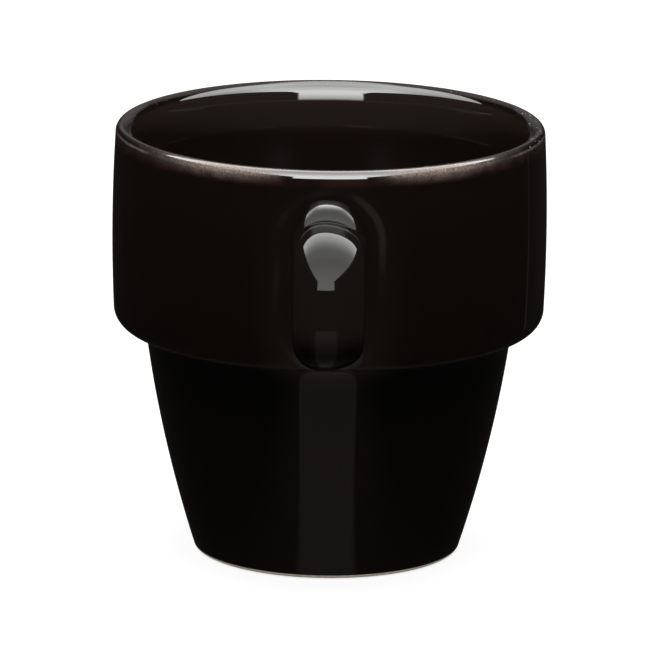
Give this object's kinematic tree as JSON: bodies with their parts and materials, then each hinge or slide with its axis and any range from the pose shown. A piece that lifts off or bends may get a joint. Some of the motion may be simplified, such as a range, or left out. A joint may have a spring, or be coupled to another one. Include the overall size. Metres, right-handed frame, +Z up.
{
  "type": "stackable coffee cup",
  "caption": "Stackable ceramic coffee cup with a wide upper band, a tapered lower body that nests in the cup below, and a small looped strap handle on the band.",
  "frame": {"origin": "under the middle of the whole object, handle included, on the plane that the foot ring stands on", "axes": "+Z up along the cup's axis of revolution, -Y towards the handle, X across the handle. The cup's axis is the vertical line at x 0, y 0.010248 m."},
  "size_m": [0.0786, 0.0992, 0.0785],
  "materials": {
    "brown_glaze": "glossy black-brown glaze that breaks to tan where it thins at the rim",
    "glazed_slip": "the same glossy glaze, pooled a little thicker round the handle's roots",
    "bare_clay": "matt unglazed pale stoneware, slightly gritty"
  },
  "bodies": {
    "root": {"cup_body": "brown_glaze", "foot_ring": "bare_clay", "handle": "brown_glaze", "upper_slip_joint": "glazed_slip", "lower_slip_joint": "glazed_slip"}
  },
  "joints": []
}
